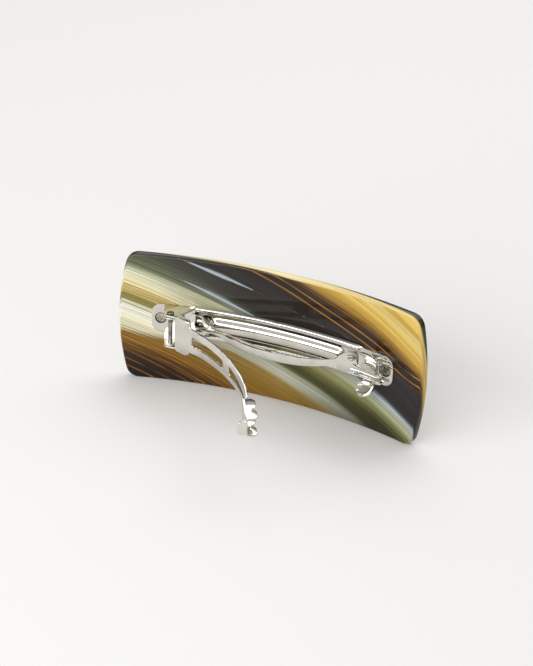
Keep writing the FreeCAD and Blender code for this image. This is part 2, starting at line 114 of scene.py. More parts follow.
# Bands of the horn pattern, by place across the streaks in millimetres: at the hinge end,
# in the middle and at the catch end of the sheet.
BAND_LOW, BAND_HIGH = -20.0, 80.0
HINGE_BANDS = [(-20, "#161210"), (-11, "#1f1713"), (-7.5, "#33231a"), (-5, "#2c1c14"),
               (-3.2, "#4c3018"), (-1.6, "#7c5722"), (-0.6, "#a1874e"), (0.4, "#b9b29a"),
               (3, "#cfc8a8"), (6, "#d8d6c0"), (8.4, "#dcdccc"), (9.6, "#bdb894"),
               (10.4, "#867e48"), (11.6, "#766c34"), (13, "#8d7d40"), (14.3, "#b49f62"),
               (15.2, "#ccb880"), (16.4, "#dcd2a8"), (18, "#d8d2ae"), (19.4, "#dadac2"),
               (20.4, "#babc9e"), (21.4, "#8c8e74"), (22.4, "#6a6e54"), (24.2, "#585c44"),
               (27.5, "#43453a"), (31, "#31312b"), (36, "#241f1d"), (80, "#221f1d")]
MIDDLE_BANDS = [(-20, "#1a1210"), (-10, "#21160f"), (-7, "#3a2412"), (-5, "#5e4017"),
                (-2.5, "#79581d"), (2, "#836420"), (7.0, "#95793a"), (8.0, "#a3946a"),
                (8.8, "#b4b29c"), (10.8, "#bcbfb0"), (12.0, "#a9ac96"), (12.9, "#646034"),
                (13.9, "#4b4a26"), (15.8, "#4e4e28"), (17.2, "#767140"), (18.6, "#8d8650"),
                (21, "#a3a382"), (23.2, "#6f7468"), (24.4, "#3a3b36"), (26.0, "#2b2623"),
                (34, "#2a2421"), (41.0, "#1f1713"), (43.2, "#3f2b14"), (44.6, "#9c7a36"),
                (46.4, "#c0993f"), (50, "#d2b15f"), (58, "#dabf70"), (61, "#8b7a3c"),
                (64, "#33341f"), (80, "#2a2c1e")]
CATCH_BANDS = [(-20, "#25260f"), (12, "#2a2b14"), (16.5, "#2e2d16"), (18, "#464622"),
               (19.6, "#686842"), (21, "#8d8f66"), (22.4, "#a6a88c"), (23.6, "#9a9f90"),
               (24.6, "#a5adae"), (25.4, "#6c7074"), (26.2, "#2c2c2d"), (28, "#262120"),
               (36, "#292322"), (41, "#271c16"), (43.2, "#432d14"), (44.6, "#866425"),
               (46, "#ab8536"), (49, "#c3a24c"), (51.2, "#ccb062"), (52.6, "#ceb87a"),
               (54, "#b69340"), (57, "#cdac56"), (60.5, "#dac47e"), (62.5, "#7a6a34"),
               (65, "#34331e"), (80, "#2a2c1e")]
# the streaks fall towards the catch, this much per millimetre along the plate, and past a
# place along it they curve down further
STREAK_FALL = 0.35
CURVE_FROM, CURVE = 20.0, 0.0035
# they lean through the sheet: this much further across, per millimetre of depth
DEPTH_LEAN = 6.5
# streaks, each about this wide and this long: broad ones, fine ones and single hairs
BROAD_STREAK, FINE_STREAK, HAIR = (2.4, 42), (0.5, 70), (0.3, 60)
# where along the plate the bands of one stretch turn into the next one's
HINGE_TO_MIDDLE, MIDDLE_TO_CATCH = (-38, -8), (2, 34)
# thin orange threads: place across the streaks, how much more each leans than they do, strength
THREADS = [(38.3, 0.0, 0.9), (40.7, 0.0, 1.0), (43.0, 0.0, 0.4), (-5.3, 0.1, 0.35), (-6.6, 0.1, 0.5),
           (-7.8, 0.1, 0.75), (-9.6, 0.1, 0.6), (-10.5, 0.1, 0.3), (-12.2, 0.1, 0.5),
           (-14.6, 0.1, 0.35), (-17.0, 0.1, 0.45)]
THREAD_CORE, THREAD_EDGE = 0.06, 0.4
# past this place along the plate the threads flatten
THREAD_FLAT_FROM, THREAD_FLATTEN = 40.0, -0.032
# pale wisps: middle across, half width, and where along the plate each starts and ends
FLAT_WISP = (32.7, 0.8, -30.5, -8)
FLAT_WISP_FALL = 0.285
LEANING_WISPS = [(23.9, 0.8, -32, -4), (24.5, 0.9, 28, 49)]
# the last of these is a painted highlight for the top edge, where it catches the light
THREAD_COLOUR, SMOKE_COLOUR, PAINTED_RIM_HIGHLIGHT = "#ad7426", "#aab6bd", "#f0e6b6"


def horn_place(tree):
    """Place across the streaks, along the plate and up, in millimetres."""
    where = node(tree, "TexCoord", output="Object")
    xyz = node(tree, "SeparateXYZ", {0: where}).node.outputs
    along = node(tree, "Math", {0: xyz["X"], 1: 1 / MM}, operation="MULTIPLY")
    up = node(tree, "Math", {0: xyz["Z"], 1: 1 / MM}, operation="MULTIPLY")
    # depth under the hollow face, from the distance to the bend's axis
    out = node(tree, "Math", {0: xyz["Y"], 1: 1 / MM, 2: -AXIS_Y}, operation="MULTIPLY_ADD")
    out_square = node(tree, "Math", {0: out, 1: out}, operation="MULTIPLY")
    square = node(tree, "Math", {0: along, 1: along, 2: out_square}, operation="MULTIPLY_ADD")
    radius = node(tree, "Math", {0: square}, operation="SQRT")
    deep = node(tree, "Math", {0: radius, 1: PLATE_RADIUS}, operation="SUBTRACT")
    across = node(tree, "Math", {0: along, 1: STREAK_FALL, 2: up}, operation="MULTIPLY_ADD")
    beyond = node(tree, "Math", {0: along, 1: CURVE_FROM}, operation="SUBTRACT")
    past = node(tree, "Math", {0: beyond, 1: 0.0}, operation="MAXIMUM")
    past_square = node(tree, "Math", {0: past, 1: past}, operation="MULTIPLY")
    across = node(tree, "Math", {0: past_square, 1: CURVE, 2: across}, operation="MULTIPLY_ADD")
    across = node(tree, "Math", {0: deep, 1: DEPTH_LEAN, 2: across}, operation="MULTIPLY_ADD")
    # the streaks drift by a millimetre either way, over some 45 mm along and 14 mm across
    slow_along = node(tree, "Math", {0: along, 1: 0.022}, operation="MULTIPLY")
    slow_across = node(tree, "Math", {0: across, 1: 0.07}, operation="MULTIPLY")
    slow = node(tree, "CombineXYZ", {"X": slow_along, "Y": slow_across})
    drift = node(tree, "TexNoise", {"Vector": slow, "Scale": 1.0, "Detail": 1.0})
    drift = node(tree, "Math", {0: drift, 1: 2.0, 2: -1.0}, operation="MULTIPLY_ADD")
    across = node(tree, "Math", {0: across, 1: drift}, operation="ADD")
    return across, along, up


def streak_noise(tree, across, along, size, detail=2.0, seed=0.0):
    """Noise drawn out along the streaks: one streak is about as wide and long as the size."""
    width, length = size
    far = node(tree, "Math", {0: along, 1: 1 / length, 2: seed}, operation="MULTIPLY_ADD")
    wide = node(tree, "Math", {0: across, 1: 1 / width}, operation="MULTIPLY")
    drawn = node(tree, "CombineXYZ", {"X": far, "Y": wide})
    return node(tree, "TexNoise", {"Vector": drawn, "Scale": 1.0, "Detail": detail, "Roughness": 0.6})


def wisp(tree, across, along, place, half, start, end):
    """How strongly one tapered streak shows: its middle across, half its width, and its ends."""
    off = node(tree, "Math", {0: across, 1: place}, operation="SUBTRACT")
    gap = node(tree, "Math", {0: off}, operation="ABSOLUTE")
    full_from = start + 0.35 * (end - start)
    full_to = start + 0.55 * (end - start)
    rise = node(tree, "MapRange", {0: along, 1: start, 2: full_from})
    fall = node(tree, "MapRange", {0: along, 1: full_to, 2: end, 3: 1.0, 4: 0.0})
    taper = node(tree, "Math", {0: rise, 1: fall}, operation="MULTIPLY")
    wide = node(tree, "Math", {0: taper, 1: half}, operation="MULTIPLY")
    wide = node(tree, "Math", {0: wide, 1: 0.01}, operation="MAXIMUM")
    inside = node(tree, "Math", {0: gap, 1: wide}, operation="DIVIDE")
    return node(tree, "MapRange", {0: inside, 1: 0.35, 2: 1.0, 3: 1.0, 4: 0.0})


def banded_colour(tree, across, along, fine):
    """The three sets of bands mixed along the plate, their edges broken up into streaks."""
    broad = streak_noise(tree, across, along, BROAD_STREAK)
    shift = node(tree, "Math", {0: broad, 1: 3.2, 2: -1.6}, operation="MULTIPLY_ADD")
    place = node(tree, "Math", {0: across, 1: shift}, operation="ADD")
    # the pale hinge end is the most finely streaked
    fine_size = node(tree, "MapRange", {0: along, 1: -34, 2: -8, 3: 8.0, 4: 2.8})
    ragged = node(tree, "Math", {0: fine, 1: 0.5}, operation="SUBTRACT")
    place = node(tree, "Math", {0: ragged, 1: fine_size, 2: place}, operation="MULTIPLY_ADD")
    share = node(tree, "MapRange", {0: place, 1: BAND_LOW, 2: BAND_HIGH})
    bands = []
    for stops in (HINGE_BANDS, MIDDLE_BANDS, CATCH_BANDS):
        band = node(tree, "ValToRGB", {0: share})
        fill_ramp(band.node, stops, BAND_LOW, BAND_HIGH)
        bands.append(band)
    # the golden wedge of the middle reaches further towards the hinge the lower it lies
    reach = node(tree, "Math", {0: across, 1: -3.1, 2: along}, operation="MULTIPLY_ADD")
    wedge = node(tree, "MapRange", {0: reach, 1: -47, 2: -39})
    low_part = node(tree, "MapRange", {0: across, 1: 8.0, 2: 9.5, 3: 1.0, 4: 0.0})
    wedge = node(tree, "Math", {0: wedge, 1: low_part}, operation="MULTIPLY")
    middle = node(tree, "MapRange", {0: along, 1: HINGE_TO_MIDDLE[0], 2: HINGE_TO_MIDDLE[1]})
    middle = node(tree, "Math", {0: middle, 1: wedge}, operation="MAXIMUM")
    colour = node(tree, "Mix", {0: middle, 6: bands[0], 7: bands[1]}, 2, data_type="RGBA")
    catch = node(tree, "MapRange", {0: along, 1: MIDDLE_TO_CATCH[0], 2: MIDDLE_TO_CATCH[1]})
    colour = node(tree, "Mix", {0: catch, 6: colour, 7: bands[2]}, 2, data_type="RGBA")
    # finest of all, lighter and darker hairs
    hairs = streak_noise(tree, across, along, HAIR, 2.0, 3.0)
    tone = node(tree, "MapRange", {0: hairs, 1: 0.32, 2: 0.68, 3: 0.62, 4: 1.36})
    grey = node(tree, "CombineColor", {0: tone, 1: tone, 2: tone})
    return node(tree, "Mix", {0: 1.0, 6: colour, 7: grey}, 2, data_type="RGBA", blend_type="MULTIPLY")


def with_smoke(tree, colour, across, along, up, fine):
    """Pale smoke: two wisps in the dark upper part, and a wedge at the catch end."""
    ragged = node(tree, "Math", {0: fine, 1: 0.5}, operation="SUBTRACT")
    flat = node(tree, "Math", {0: along, 1: FLAT_WISP_FALL, 2: up}, operation="MULTIPLY_ADD")
    flat = node(tree, "Math", {0: flat, 1: ragged}, operation="ADD")
    leaning = node(tree, "Math", {0: across, 1: ragged}, operation="ADD")
    smoke = wisp(tree, flat, along, *FLAT_WISP)
    for sizes in LEANING_WISPS:
        more = wisp(tree, leaning, along, *sizes)
        smoke = node(tree, "Math", {0: smoke, 1: more}, operation="MAXIMUM")
    shown = node(tree, "Math", {0: smoke, 1: 0.85}, operation="MULTIPLY")
    return node(tree, "Mix", {0: shown, 6: colour, 7: srgb(SMOKE_COLOUR)}, 2, data_type="RGBA")


def with_threads(tree, colour, across, along):
    """Orange threads that wander a little, fade in and out, and flatten near the catch end."""
    wander = streak_noise(tree, across, along, (6, 30), 1.0, 11.0)
    wander = node(tree, "Math", {0: wander, 1: 0.5}, operation="SUBTRACT")
    beyond = node(tree, "Math", {0: along, 1: THREAD_FLAT_FROM}, operation="SUBTRACT")
    late = node(tree, "Math", {0: beyond, 1: 0.0}, operation="MAXIMUM")
    late_square = node(tree, "Math", {0: late, 1: late}, operation="MULTIPLY")
    place = node(tree, "Math", {0: across, 1: wander}, operation="ADD")
    place = node(tree, "Math", {0: late_square, 1: THREAD_FLATTEN, 2: place}, operation="MULTIPLY_ADD")
    fade = streak_noise(tree, across, along, (1.2, 16), 1.0, 5.0)
    fade = node(tree, "MapRange", {0: fade, 1: 0.32, 2: 0.6, 3: 0.1, 4: 1.0})
    for middle, lean, strength in THREADS:
        leaning = node(tree, "Math", {0: along, 1: lean, 2: place}, operation="MULTIPLY_ADD")
        off = node(tree, "Math", {0: leaning, 1: middle}, operation="SUBTRACT")
        gap = node(tree, "Math", {0: off}, operation="ABSOLUTE")
        thread = node(tree, "MapRange", {0: gap, 1: THREAD_CORE, 2: THREAD_EDGE, 3: strength, 4: 0.0})
        shown = node(tree, "Math", {0: thread, 1: fade}, operation="MULTIPLY")
        colour = node(tree, "Mix", {0: shown, 6: colour, 7: srgb(THREAD_COLOUR)}, 2, data_type="RGBA")
    return colour


def with_painted_rim_highlight(tree, colour, across, along, up):
    """Painted highlight: pale colour painted on the golden part of the long top edge, where its rounded
    rim catches the light from above.
    """
    painted_shine = node(tree, "MapRange", {0: up, 1: 41.2, 2: 41.6})
    golden_from = node(tree, "MapRange", {0: across, 1: 41.5, 2: 43.5})
    golden_to = node(tree, "MapRange", {0: across, 1: 58, 2: 62, 3: 1.0, 4: 0.0})
    strength = node(tree, "MapRange", {0: along, 1: 0, 2: 22, 3: 0.75, 4: 0.2})
    for share in (golden_from, golden_to, strength):
        painted_shine = node(tree, "Math", {0: painted_shine, 1: share}, operation="MULTIPLY")
    return node(tree, "Mix", {0: painted_shine, 6: colour, 7: srgb(PAINTED_RIM_HIGHLIGHT)}, 2, data_type="RGBA")


def horn_acetate(name):
    """Cellulose acetate sheet, horn pattern, tumbled to a wet gloss: long soft streaks that lean
    through its thickness, hair-thin orange threads in the dark parts and pale smoke beside them."""
    material, tree, shader = new_material(name, Roughness=0.09, IOR=1.48, Specular_IOR_Level=0.3)
    across, along, up = horn_place(tree)
    fine = streak_noise(tree, across, along, FINE_STREAK, 2.5, 7.0)
    colour = banded_colour(tree, across, along, fine)
    colour = with_smoke(tree, colour, across, along, up, fine)
    colour = with_threads(tree, colour, across, along)
    # painted highlight along the top edge
    colour = with_painted_rim_highlight(tree, colour, across, along, up)
    tree.links.new(colour, shader.inputs["Base Color"])
    # tumbling leaves the gloss very slightly wavy, 11 mm from crest to crest
    where = node(tree, "TexCoord", output="Object")
    wave = node(tree, "TexNoise", {"Vector": where, "Scale": 1 / (11.11 * MM), "Detail": 2.0})
    bump = node(tree, "Bump", {"Height": wave, "Strength": 0.05, "Distance": 0.4 * MM})
    tree.links.new(bump, shader.inputs["Normal"])
    return material


# the strip's drawn lines: their length along it, and their pitch through it and across it
DRAWN_LINE = (2.5, 1 / 3, 2 / 13)
RUBBED_PLACE = 3.846


def bright_metal(name, code="#dbd8d2", roughness=0.09, grain=0.12):
    """Drawn steel strip or wire, bright nickel-plated or plain: a hard mirror, a little warm,
    with the faint drawn grain of the metal and a few rubbed places."""
    material, tree, shader = new_material(name, Metallic=1.0)
    where = node(tree, "TexCoord", output="Object")
    drawn = node(tree, "Mapping", {"Vector": where, "Scale": [1 / (size * MM) for size in DRAWN_LINE]})
    lines = node(tree, "TexNoise", {"Vector": drawn, "Scale": 1.0, "Detail": 2.0})
    rubbed = node(tree, "TexNoise", {"Vector": where, "Scale": 1 / (RUBBED_PLACE * MM), "Detail": 2.0})
    rough = node(tree, "Math", {0: rubbed, 1: 0.06, 2: roughness - 0.03}, operation="MULTIPLY_ADD")
    tree.links.new(rough, shader.inputs["Roughness"])
    wear = node(tree, "MapRange", {0: rubbed, 1: 0.4, 2: 0.75})
    worn = node(tree, "Mix", {0: wear, 6: srgb(code), 7: srgb("#cdc8bd")}, 2, data_type="RGBA")
    tree.links.new(worn, shader.inputs["Base Color"])
    bump = node(tree, "Bump", {"Height": lines, "Strength": grain, "Distance": 0.01 * MM})
    tree.links.new(bump, shader.inputs["Normal"])
    return material


acetate = horn_acetate("horn_acetate_tumbled")
strip_nickel = bright_metal("bright_nickel_on_strip")
screw_nickel = bright_metal("bright_nickel_on_screw", "#9a9484", 0.14, 0.1)
pin_steel = bright_metal("plain_steel_pin", "#6f6a60", 0.22, 0.3)
# a dark metal, painted as the shade that fills the countersinks round the screw heads
countersink_shade_metal = bright_metal("painted_shade_in_countersink", "#4a443c", 0.35, 0.3)
spring_nickel = bright_metal("bright_nickel_on_spring", "#dedcd6", 0.07, 0.08)


# ---- the acetate plate ----
END_STEPS, CORNER_STEPS = 12, 14    # facets of half a bowed end and of a corner
BEND_STEP = 1.5                     # between the bend lines along the plate


def sheet_outline():
    """Outline of the flat blank: bowed short ends, straight long edges, round corners."""
    half, reach = PLATE_WIDTH / 2, PLATE_LENGTH / 2
    bow_r = (half ** 2 + END_BOW ** 2) / (2 * END_BOW)
    bow_x = reach - bow_r
    corner_z = half - CORNER_RADIUS
    corner_x = bow_x + math.sqrt((bow_r - CORNER_RADIUS) ** 2 - corner_z ** 2)
    lean = math.atan2(corner_z, corner_x - bow_x)
    upper = []
    for i in range(END_STEPS + 1):
        a = lean * i / END_STEPS
        upper.append((bow_x + bow_r * math.cos(a), bow_r * math.sin(a)))
    for i in range(1, CORNER_STEPS + 1):
        a = lean + (math.pi / 2 - lean) * i / CORNER_STEPS
        upper.append((corner_x + CORNER_RADIUS * math.cos(a), corner_z + CORNER_RADIUS * math.sin(a)))
    right = [(s, -z) for s, z in reversed(upper[1:])] + upper
    return right + [(-s, -z) for s, z in right]


def finish_mesh(mesh, name, materials):
    """An object in the scene from a bmesh, with its materials."""
    bmesh.ops.recalc_face_normals(mesh, faces=mesh.faces)
    data = bpy.data.meshes.new(name)
    mesh.to_mesh(data)
    mesh.free()
    made = bpy.data.objects.new(name, data)
    bpy.context.scene.collection.objects.link(made)
    for material in materials:
        data.materials.append(material)
    return made


def make_plate():
    """The blank with its edges tumbled round, then bent to its radius."""
    mesh = bmesh.new()
    outline = sheet_outline()
    rings = []
    for height in (0.0, -PLATE_THICKNESS):
        rings.append([mesh.verts.new((s, height, z)) for s, z in outline])
    count = len(outline)
    mesh.faces.new(rings[0])
    mesh.faces.new(list(reversed(rings[1])))
    for i in range(count):
        j = (i + 1) % count
        mesh.faces.new([rings[0][j], rings[0][i], rings[1][i], rings[1][j]])
    bmesh.ops.recalc_face_normals(mesh, faces=mesh.faces)
    rims = [e for e in mesh.edges if abs(e.verts[0].co.y - e.verts[1].co.y) < 1e-6
            and len(e.link_faces) == 2]
    bmesh.ops.bevel(mesh, geom=rims, offset=EDGE_ROUND, segments=5, profile=0.5, affect="EDGES")
    place = -PLATE_LENGTH / 2 + BEND_STEP
    while place < PLATE_LENGTH / 2:
        geometry = mesh.verts[:] + mesh.edges[:] + mesh.faces[:]
        bmesh.ops.bisect_plane(mesh, geom=geometry, plane_co=(place, 0, 0), plane_no=(1, 0, 0))
        place += BEND_STEP
    for face in mesh.faces:
        face.smooth = True
    for vert in mesh.verts:
        vert.co = over_face(vert.co.x, vert.co.y, vert.co.z + PLATE_WIDTH / 2)
    return finish_mesh(mesh, "acetate_plate_skin", [acetate])


plate = make_plate()
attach(plate, "plate")
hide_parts("acetate_plate")


# ---- how the clip's sheet-metal pieces are made ----
FLAT = ([], [])             # no bend lines
EDGE_ANGLE = 68             # only folds sharper than this are cut edges, and rolled


def smooth(low, high, value):
    """0 up to low and 1 from high, with a smooth step between."""
    t = min(max((value - low) / (high - low), 0.0), 1.0)
    return t * t * (3 - 2 * t)


def steps(low, high, pitch):
    """Evenly spaced places between two ends, no further apart than the pitch."""
    count = max(1, math.ceil((high - low) / pitch))
    return [low + (high - low) * i / count for i in range(1, count)]


def ring(cx, cy, rx, ry, count=24, a0=0.0, a1=2 * math.pi):
    """Points round an ellipse, or along an arc of it with both its ends."""
    last = count if abs(a1 - a0) > 6.28 else count - 1
    turns = [a0 + (a1 - a0) * i / last for i in range(count)]
    return [(cx + rx * math.cos(a), cy + ry * math.sin(a)) for a in turns]


def mirrored(half):
    """A closed outline from its upper half, which runs from one end to the other."""
    return half + [(x, -y) for x, y in reversed(half) if abs(y) > 1e-9]


def blank_mesh(loops, cuts):
    """The flat blank: its outline and holes filled, then divided along its bend lines."""
    mesh = bmesh.new()
    for loop in loops:
        verts = [mesh.verts.new((x, y, 0)) for x, y in loop]
        for i, vert in enumerate(verts):
            mesh.edges.new((verts[i - 1], vert))
    bmesh.ops.triangle_fill(mesh, use_beauty=True, use_dissolve=False, edges=mesh.edges[:],
                            normal=(0, 0, 1))
    for face in mesh.faces:
        if face.normal.z < 0:
            face.normal_flip()
    for axis, places in zip(((1, 0, 0), (0, 1, 0)), cuts):
        for place in places:
            at_place = tuple(place * c for c in axis)
            bmesh.ops.bisect_plane(mesh, geom=mesh.verts[:] + mesh.edges[:] + mesh.faces[:],
                                   dist=1e-5, plane_co=at_place, plane_no=axis)
    bmesh.ops.remove_doubles(mesh, verts=mesh.verts, dist=1e-4)
    if any(cuts):
        # only the bend lines stay, so that the bent sheet shades evenly
        slanted = [e for e in mesh.edges if len(e.link_faces) == 2
                   and min(abs(e.verts[0].co[k] - e.verts[1].co[k]) for k in (0, 1)) > 1e-4]
        bmesh.ops.dissolve_edges(mesh, edges=slanted, use_verts=False)
        spare = [v for v in mesh.verts if len(v.link_edges) == 2 and not v.is_boundary]
        bmesh.ops.dissolve_verts(mesh, verts=spare)
    return mesh


def stamping(loops, cuts, shape, sheet, edge=0.1, offset=0.0):
    """Sheet metal: a flat blank with holes, bent by the shape function, then given its thickness
    and its rolled edges. Lengths in millimetres; cuts are the bend lines along and across."""
    mesh = blank_mesh(loops, cuts)
    for vert in mesh.verts:
        vert.co = shape(vert.co.x, vert.co.y)
    data = bpy.data.meshes.new("blank")
    mesh.to_mesh(data)
    mesh.free()
    made = bpy.data.objects.new("blank", data)
    bpy.context.scene.collection.objects.link(made)
    solid = made.modifiers.new("sheet", "SOLIDIFY")
    solid.thickness = sheet * MM
    solid.offset = offset
    solid.use_even_offset = True
    roll = made.modifiers.new("rolled_edge", "BEVEL")
    roll.width = edge * MM
    roll.segments = 2
    roll.limit_method = "ANGLE"
    roll.angle_limit = math.radians(EDGE_ANGLE)
    bpy.context.view_layer.update()
    whole = bpy.data.meshes.new_from_object(made.evaluated_get(bpy.context.evaluated_depsgraph_get()))
    bpy.data.objects.remove(made)
    return whole


def turned(profile, origin, axis, count=32):
    """A turned piece: (distance along the axis, radius) pairs, in millimetres."""
    mesh = bmesh.new()
    turn = Vector((0, 0, 1)).rotation_difference(axis)
    rows = []
    for along, radius in profile:
        row = []
        for i in range(count if radius > 0 else 1):
            a = 2 * math.pi * i / count
            spot = Vector((radius * math.cos(a), radius * math.sin(a), along)) * MM
            row.append(mesh.verts.new(origin + turn @ spot))
        rows.append(row)
    for near, far in zip(rows, rows[1:]):
        for i in range(count):
            j = (i + 1) % count
            quad = [near[i % len(near)], near[j % len(near)], far[j % len(far)], far[i % len(far)]]
            corners = list(dict.fromkeys(quad))
            mesh.faces.new(corners)
    bmesh.ops.recalc_face_normals(mesh, faces=mesh.faces)
    data = bpy.data.meshes.new("turned")
    mesh.to_mesh(data)
    mesh.free()
    return data


def assemble(name, meshes, material, body, slot, *replaced):
    """One piece from several meshes, smooth but for its cut edges, on its body."""
    mesh = bmesh.new()
    for data in meshes:
        mesh.from_mesh(data)
    made = finish_mesh(mesh, name, [material])
    for polygon in made.data.polygons:
        polygon.use_smooth = True
    made.data.set_sharp_from_angle(angle=math.radians(62))
    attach(made, body)
    if replaced:
        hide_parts(*replaced)
    return made


def clip_point(s, h, z):
    """Point by place along the clip, height over the acetate and distance from its middle."""
    return over_face(s, h, CLIP_Z + z)


# ---- base strip ----
CLIP_HALF = 40.0
SHEET = 0.6
TAB_HALF = 4.7
TAB_CORNER = 3.0
BED_HALF = 5.0
BED_START, BED_END = -27.0, 28.5
BED_LEAD, BED_RISE = 0.4, 1.6       # the bed starts to rise before its end, and is up past it
RAIL_IN = 3.9
RAIL_TOP = 1.4
RAIL_FOLD = 0.35                    # width of the fold at each side of a rail
RAIL_FOOT = 0.32                    # middle of the sheet at a rail's outer foot
FLOOR_TOP = 1.0
RIB_HALF = 2.8
RIB_TOP = 2.3
RIB_START, RIB_END = -21.5, 22.8
RIB_RAMPS = (2.2, 1.8)              # length of its sloping ends, at the hinge and at the catch
RIB_CROWN = 0.25                    # share of its half width that is level
DIMPLE_Z, DIMPLE_HALF, DIMPLE_RISE = 4.45, (0.9, 0.5), 0.22
SLOT_END = 22.0
SLOT_MIDDLE = 3.35
SLOT_HALF = 0.5
SCREW_AT = 37.2
SCREW_HOLE = 1.85
PIN_AT, PIN_HEIGHT, PIN_RADIUS = -32.4, 7.6, 0.7
EAR_IN = 4.1
EAR_CROWN = 1.9
EAR_BACK, EAR_FRONT = 3.8, 6.2      # ear's foot from under the pin, each way
EAR_FOOT = 0.2                      # height at which the ear leaves the strip
LUG_START, LUG_END, LUG_SIDE = 32.9, 36.7, 0.3
LUG_CROWN = (1.0, 1.1)              # height of the crown's middle, and its rise above that
LUG_IN, LUG_LEAN = 4.1, 0.12


def bed_height(s, z):
    """Middle of the sheet over the acetate: tabs, floor, two rails and the rounded rib."""
    z = abs(z)
    tab = SHEET / 2
    floor = FLOOR_TOP - SHEET / 2
    rail = RAIL_TOP - SHEET / 2
    if z > RAIL_IN:
        bed = rail - (rail - RAIL_FOOT) * smooth(BED_HALF - RAIL_FOLD, BED_HALF, z)
    else:
        bed = floor + (rail - floor) * smooth(RAIL_IN - RAIL_FOLD, RAIL_IN, z)
    arch = 1 - smooth(RIB_CROWN * RIB_HALF, RIB_HALF, z)
    ends = (smooth(RIB_START, RIB_START + RIB_RAMPS[0], s)
            * smooth(-RIB_END, RIB_RAMPS[1] - RIB_END, -s))
    bed += (RIB_TOP - FLOOR_TOP) * arch * ends
    # a small locating dimple in the middle of each rail
    off = (s / DIMPLE_HALF[0]) ** 2 + ((z - DIMPLE_Z) / DIMPLE_HALF[1]) ** 2
    bed += DIMPLE_RISE * max(0.0, 1 - off)
    stamped = (smooth(BED_START - BED_LEAD, BED_START + BED_RISE, s)
               * smooth(-BED_END - BED_LEAD, BED_RISE - BED_END, -s))
    return tab + (bed - tab) * stamped


def tangent(cx, cy, radius, px, py, side):
    """Direction from the circle's middle to where a line from the point touches the circle."""
    reach = math.hypot(px - cx, py - cy)
    return math.atan2(py - cy, px - cx) - side * math.acos(radius / reach)


def hinge_ear(z):
    """An ear with straight sides up to its round crown, upright at this distance from the middle."""
    back, front = PIN_AT - EAR_BACK, PIN_AT + EAR_FRONT
    a0 = tangent(PIN_AT, PIN_HEIGHT, EAR_CROWN, front, EAR_FOOT, -1)
    a1 = tangent(PIN_AT, PIN_HEIGHT, EAR_CROWN, back, EAR_FOOT, 1)
    if a1 < a0:
        a1 += 2 * math.pi
    outline = [(back, EAR_FOOT), (front, EAR_FOOT)]
    outline += ring(PIN_AT, PIN_HEIGHT, EAR_CROWN, EAR_CROWN, 15, a0, a1)
    hole = ring(PIN_AT, PIN_HEIGHT, PIN_RADIUS, PIN_RADIUS, 20)
    return stamping([outline, hole], FLAT, lambda s, h: clip_point(s, h, z), SHEET)


def lug(side):
    """A small round lug that stands beside the catch, leaning out a little."""
    middle, half = (LUG_START + LUG_END) / 2, (LUG_END - LUG_START) / 2
    outline = [(LUG_START, LUG_SIDE), (LUG_END, LUG_SIDE)]
    outline += ring(middle, LUG_CROWN[0], half, LUG_CROWN[1], 13, 0.0, math.pi)
    return stamping([outline], FLAT, lambda s, h: clip_point(s, h, side * (LUG_IN + LUG_LEAN * h)), SHEET)


def base_loops():
    """The strip's outline, with its bed wider than its tabs, and its slots and screw holes."""
    corner = []
    for i in range(9):
        a = math.pi / 2 * i / 8
        corner.append((CLIP_HALF - TAB_CORNER + TAB_CORNER * math.sin(a),
                       TAB_HALF - TAB_CORNER + TAB_CORNER * math.cos(a)))
    half = [(-x, y) for x, y in reversed(corner)]
    half += [(BED_START - 1.2, TAB_HALF), (BED_START - 0.3, BED_HALF), (BED_END + 0.3, BED_HALF),
             (BED_END + 1.2, TAB_HALF)]
    half += corner
    loops = [mirrored(half)]
    round_middle = SLOT_END - SLOT_HALF
    for side in (-1, 1):
        z = side * SLOT_MIDDLE
        loops.append(ring(round_middle, z, SLOT_HALF, SLOT_HALF, 9, -math.pi / 2, math.pi / 2)
                     + ring(-round_middle, z, SLOT_HALF, SLOT_HALF, 9, math.pi / 2, 1.5 * math.pi))
        loops.append(ring(side * SCREW_AT, 0, SCREW_HOLE, SCREW_HOLE, 28))
    return loops


def make_base():
    across = [BED_HALF - 0.12, BED_HALF - 0.24, BED_HALF - RAIL_FOLD, DIMPLE_Z, RAIL_IN,
              RAIL_IN - 0.12, RAIL_IN - 0.23, RAIL_IN - RAIL_FOLD,
              RIB_HALF, 2.5, 2.2, 1.9, 1.6, 1.3, 1.0, 0.7]
    across += [-z for z in across] + [0.0]
    along = steps(-CLIP_HALF, CLIP_HALF, 1.4)
    along += steps(BED_START - BED_LEAD, BED_START + BED_RISE, 0.4)
    along += steps(BED_END - BED_RISE, BED_END + BED_LEAD, 0.4)
    along += steps(RIB_START, RIB_START + RIB_RAMPS[0], 0.3)
    along += steps(RIB_END - RIB_RAMPS[1], RIB_END, 0.3)
    along += steps(-DIMPLE_HALF[0], DIMPLE_HALF[0], 0.3)
    parts = [stamping(base_loops(), (along, across),
                      lambda s, z: clip_point(s, bed_height(s, z), z), SHEET)]
    parts += [hinge_ear(side * (EAR_IN + SHEET / 2)) for side in (-1, 1)]
    parts += [lug(side) for side in (-1, 1)]
    return assemble("base_strip", parts, strip_nickel, "plate", "plated_steel", "clip_base")


